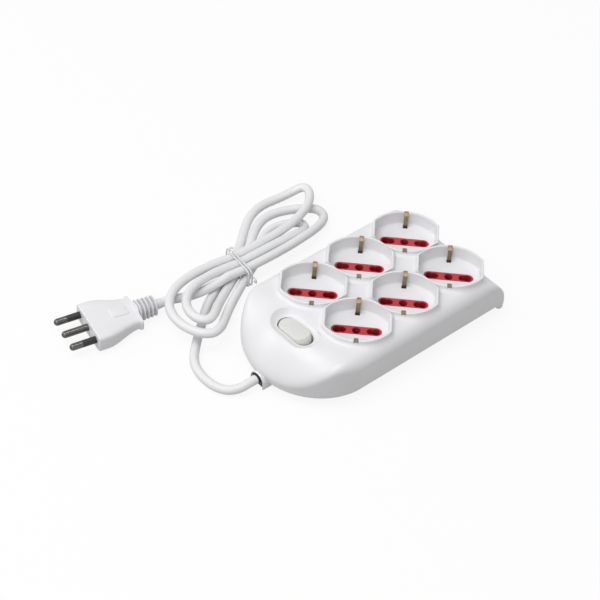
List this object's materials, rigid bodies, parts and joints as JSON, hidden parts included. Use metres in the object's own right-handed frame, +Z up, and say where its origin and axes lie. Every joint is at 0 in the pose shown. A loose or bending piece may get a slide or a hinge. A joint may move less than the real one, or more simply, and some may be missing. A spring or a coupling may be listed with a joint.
{
  "type": "power strip",
  "caption": "Flat moulded mains power strip with recessed angled sockets, a rocker switch, a tied-up lead and a flat round-pin plug.",
  "frame": {"origin": "on the floor under the middle of the body", "axes": "+X along the body from the cord end to the round far end, +Z up"},
  "size_m": [0.2673, 0.1865, 0.039],
  "materials": {
    "cover": "semi-gloss white moulding",
    "base": "matt moulding",
    "cup": "semi-gloss white moulding",
    "insert": "semi-gloss red moulding",
    "clip": "bare brass strip",
    "bar": "bare brass strip",
    "housing": "matt moulding",
    "rocker": "semi-gloss ivory moulding",
    "steel": "plated steel",
    "lamp": "clear glass",
    "bushing": "soft matt moulding",
    "cord": "soft satin sheath",
    "wire_live": "satin insulation",
    "wire_neutral": "satin insulation",
    "wire_earth": "satin insulation",
    "tie": "thin coated wire",
    "plug": "satin white moulding",
    "pin": "nickel-plated, polished",
    "sleeve": "satin black insulation"
  },
  "bodies": {
    "strip": {"top_cover": "cover", "base_cover": "base", "socket_cup_1": "cup", "socket_cup_2": "cup", "socket_cup_3": "cup", "socket_cup_4": "cup", "socket_cup_5": "cup", "socket_cup_6": "cup", "socket_insert_1": "insert", "socket_insert_2": "insert", "socket_insert_3": "insert", "socket_insert_4": "insert", "socket_insert_5": "insert", "socket_insert_6": "insert", "earth_clip_1": "clip", "earth_clip_2": "clip", "earth_clip_3": "clip", "earth_clip_4": "clip", "earth_clip_5": "clip", "earth_clip_6": "clip", "live_bar_1": "bar", "live_bar_2": "bar", "neutral_bar_1": "bar", "neutral_bar_2": "bar", "earth_bar_1": "bar", "earth_bar_2": "bar", "switch_housing": "housing", "switch_contacts": "bar", "switch_terminals": "steel", "neon_lamp": "lamp", "cord_bushing": "bushing", "cord_inner_end": "cord", "cord_clamp": "base", "clamp_screws": "steel", "cover_screws": "steel", "live_wire": "wire_live", "neutral_wire": "wire_neutral", "earth_wire": "wire_earth", "live_switch_wire": "wire_live", "neutral_switch_wire": "wire_neutral", "live_link_wire": "wire_live", "neutral_link_wire": "wire_neutral", "earth_link_wire": "wire_earth", "cord_lead": "cord", "cord_hank": "cord", "cord_tail": "cord", "cord_tie": "tie", "plug_body": "plug", "plug_strain_relief": "plug", "plug_pin_earth": "pin", "plug_pin_line_1": "pin", "plug_pin_line_2": "pin", "pin_sleeve_1": "sleeve", "pin_sleeve_2": "sleeve"},
    "switch_rocker": {"rocker": "rocker"}
  },
  "joints": [
    {"name": "rocker_tilt", "type": "hinge", "parent": "strip", "child": "switch_rocker", "pos_m": [-0.0615, 0, 0.027], "axis": [1, 0, 0], "range_deg": [0, 18]}
  ]
}
